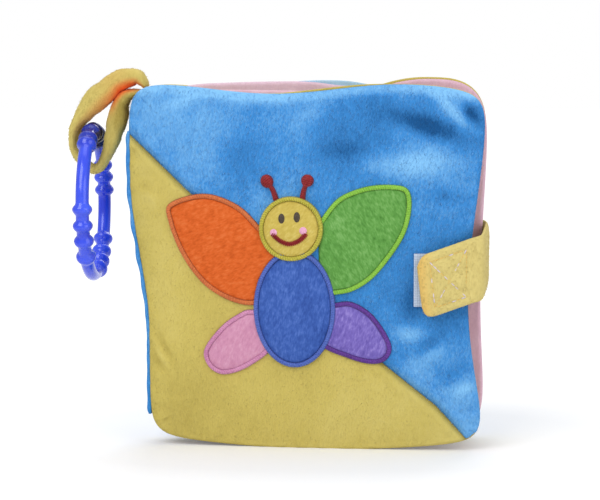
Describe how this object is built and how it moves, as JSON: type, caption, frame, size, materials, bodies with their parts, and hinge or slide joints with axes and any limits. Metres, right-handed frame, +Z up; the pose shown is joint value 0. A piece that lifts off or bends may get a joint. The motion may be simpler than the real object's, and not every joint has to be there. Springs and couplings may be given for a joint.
{
  "type": "crinkle cloth book",
  "caption": "Square padded crinkle cloth book with a sewn-on butterfly, a hook-and-loop closure tab and a ribbed link ring in a padded loop at the spine.",
  "frame": {"origin": "on the floor, in the middle of the back cover's standing edge", "axes": "+X from the spine to the fore-edge, +Y towards the back of the book, +Z up; the front cover faces -Y"},
  "size_m": [0.189, 0.0731, 0.1698],
  "materials": {
    "blue_plush": "short-pile plush",
    "yellow_plush": "short-pile plush",
    "rose_cloth": "short-pile plush",
    "pink_cloth": "short-pile plush",
    "sky_cloth": "short-pile plush",
    "orange_velour": "velour",
    "orange_thread": "satin stitch",
    "green_velour": "velour",
    "lime_thread": "satin stitch",
    "pink_thread": "satin stitch",
    "purple_velour": "velour",
    "violet_thread": "satin stitch",
    "royal_velour": "velour",
    "royal_thread": "satin stitch",
    "yellow_velour": "velour",
    "yellow_thread": "satin stitch",
    "red_thread": "satin stitch",
    "dark_thread": "satin stitch",
    "hook_and_loop": "woven hook and loop",
    "wadding": "fibre wadding",
    "crinkle_film": "clear crackling film",
    "blue_ring": "glossy moulding"
  },
  "bodies": {
    "back_cover": {"back_cover_wadding": "wadding", "back_cover_crinkle_film": "crinkle_film", "back_cover_outer_cloth": "blue_plush", "back_cover_lining": "yellow_plush", "back_gutter_cloth": "blue_plush"},
    "page_2": {"page_2_wadding": "wadding", "page_2_crinkle_film": "crinkle_film", "page_2_back_cloth": "sky_cloth", "page_2_front_cloth": "rose_cloth"},
    "spine": {"spine_cloth": "blue_plush"},
    "page_1": {"page_1_wadding": "wadding", "page_1_crinkle_film": "crinkle_film", "page_1_back_cloth": "yellow_plush", "page_1_front_cloth": "pink_cloth", "front_gutter_cloth": "blue_plush"},
    "front_cover": {"front_cover_wadding": "wadding", "front_cover_crinkle_film": "crinkle_film", "front_cover_lining": "yellow_plush", "front_cover_blue_panel": "blue_plush", "front_cover_yellow_panel": "yellow_plush", "orange_wing": "orange_velour", "orange_wing_border": "orange_thread", "green_wing": "green_velour", "green_wing_border": "lime_thread", "pink_wing": "pink_cloth", "pink_wing_border": "pink_thread", "purple_wing": "purple_velour", "purple_wing_border": "violet_thread", "body": "royal_velour", "body_border": "royal_thread", "head": "yellow_velour", "head_border": "yellow_thread", "left_antenna": "red_thread", "right_antenna": "red_thread", "left_eye": "dark_thread", "right_eye": "dark_thread", "left_cheek": "pink_thread", "right_cheek": "pink_thread", "mouth": "red_thread", "loop_patch": "hook_and_loop"},
    "loop_strap": {"loop_strap": "yellow_plush"},
    "link_ring": {"link_ring": "blue_ring"},
    "tab_wrap": {"closure_tab_wrap": "yellow_plush"},
    "tab_end": {"closure_tab_end": "yellow_plush", "hook_patch": "hook_and_loop"}
  },
  "joints": [
    {"name": "back_cover_hinge", "type": "hinge", "parent": "back_cover", "child": "page_2", "pos_m": [-0.08339, -0.00881, 0.081], "axis": [0, 0, 1], "range_deg": [-90, 0], "deforming": ["back_gutter_cloth"]},
    {"name": "page_2_hinge", "type": "hinge", "parent": "page_2", "child": "spine", "pos_m": [-0.08339, -0.01231, 0.081], "axis": [0, 0, -1], "range_deg": [0, 80]},
    {"name": "page_1_hinge", "type": "hinge", "parent": "spine", "child": "page_1", "pos_m": [-0.08339, -0.01431, 0.081], "axis": [0, 0, -1], "range_deg": [0, 80], "deforming": ["spine_cloth"]},
    {"name": "front_cover_hinge", "type": "hinge", "parent": "page_1", "child": "front_cover", "pos_m": [-0.08339, -0.01781, 0.081], "axis": [0, 0, 1], "range_deg": [-90, 0], "deforming": ["front_gutter_cloth"]},
    {"name": "loop_strap_swing", "type": "hinge", "parent": "spine", "child": "loop_strap", "pos_m": [-0.07659, -0.01331, 0.1603], "axis": [0, 1, 0], "range_deg": [0, 100], "deforming": ["loop_strap"]},
    {"name": "link_ring_spin", "type": "hinge", "parent": "loop_strap", "child": "link_ring", "pos_m": [-0.10039, -0.01331, 0.10923], "axis": [1, 0, 0], "continuous": true},
    {"name": "tab_wrap_hinge", "type": "hinge", "parent": "back_cover", "child": "tab_wrap", "pos_m": [0.0719, 0.00444, 0.0823], "axis": [0, 0, 1], "range_deg": [0, 120], "deforming": ["closure_tab_wrap"]},
    {"name": "tab_end_fold", "type": "hinge", "parent": "tab_wrap", "child": "tab_end", "pos_m": [0.07383, -0.03505, 0.0823], "axis": [0, 0, 1], "range_deg": [0, 80], "deforming": ["closure_tab_end", "hook_patch"]}
  ]
}
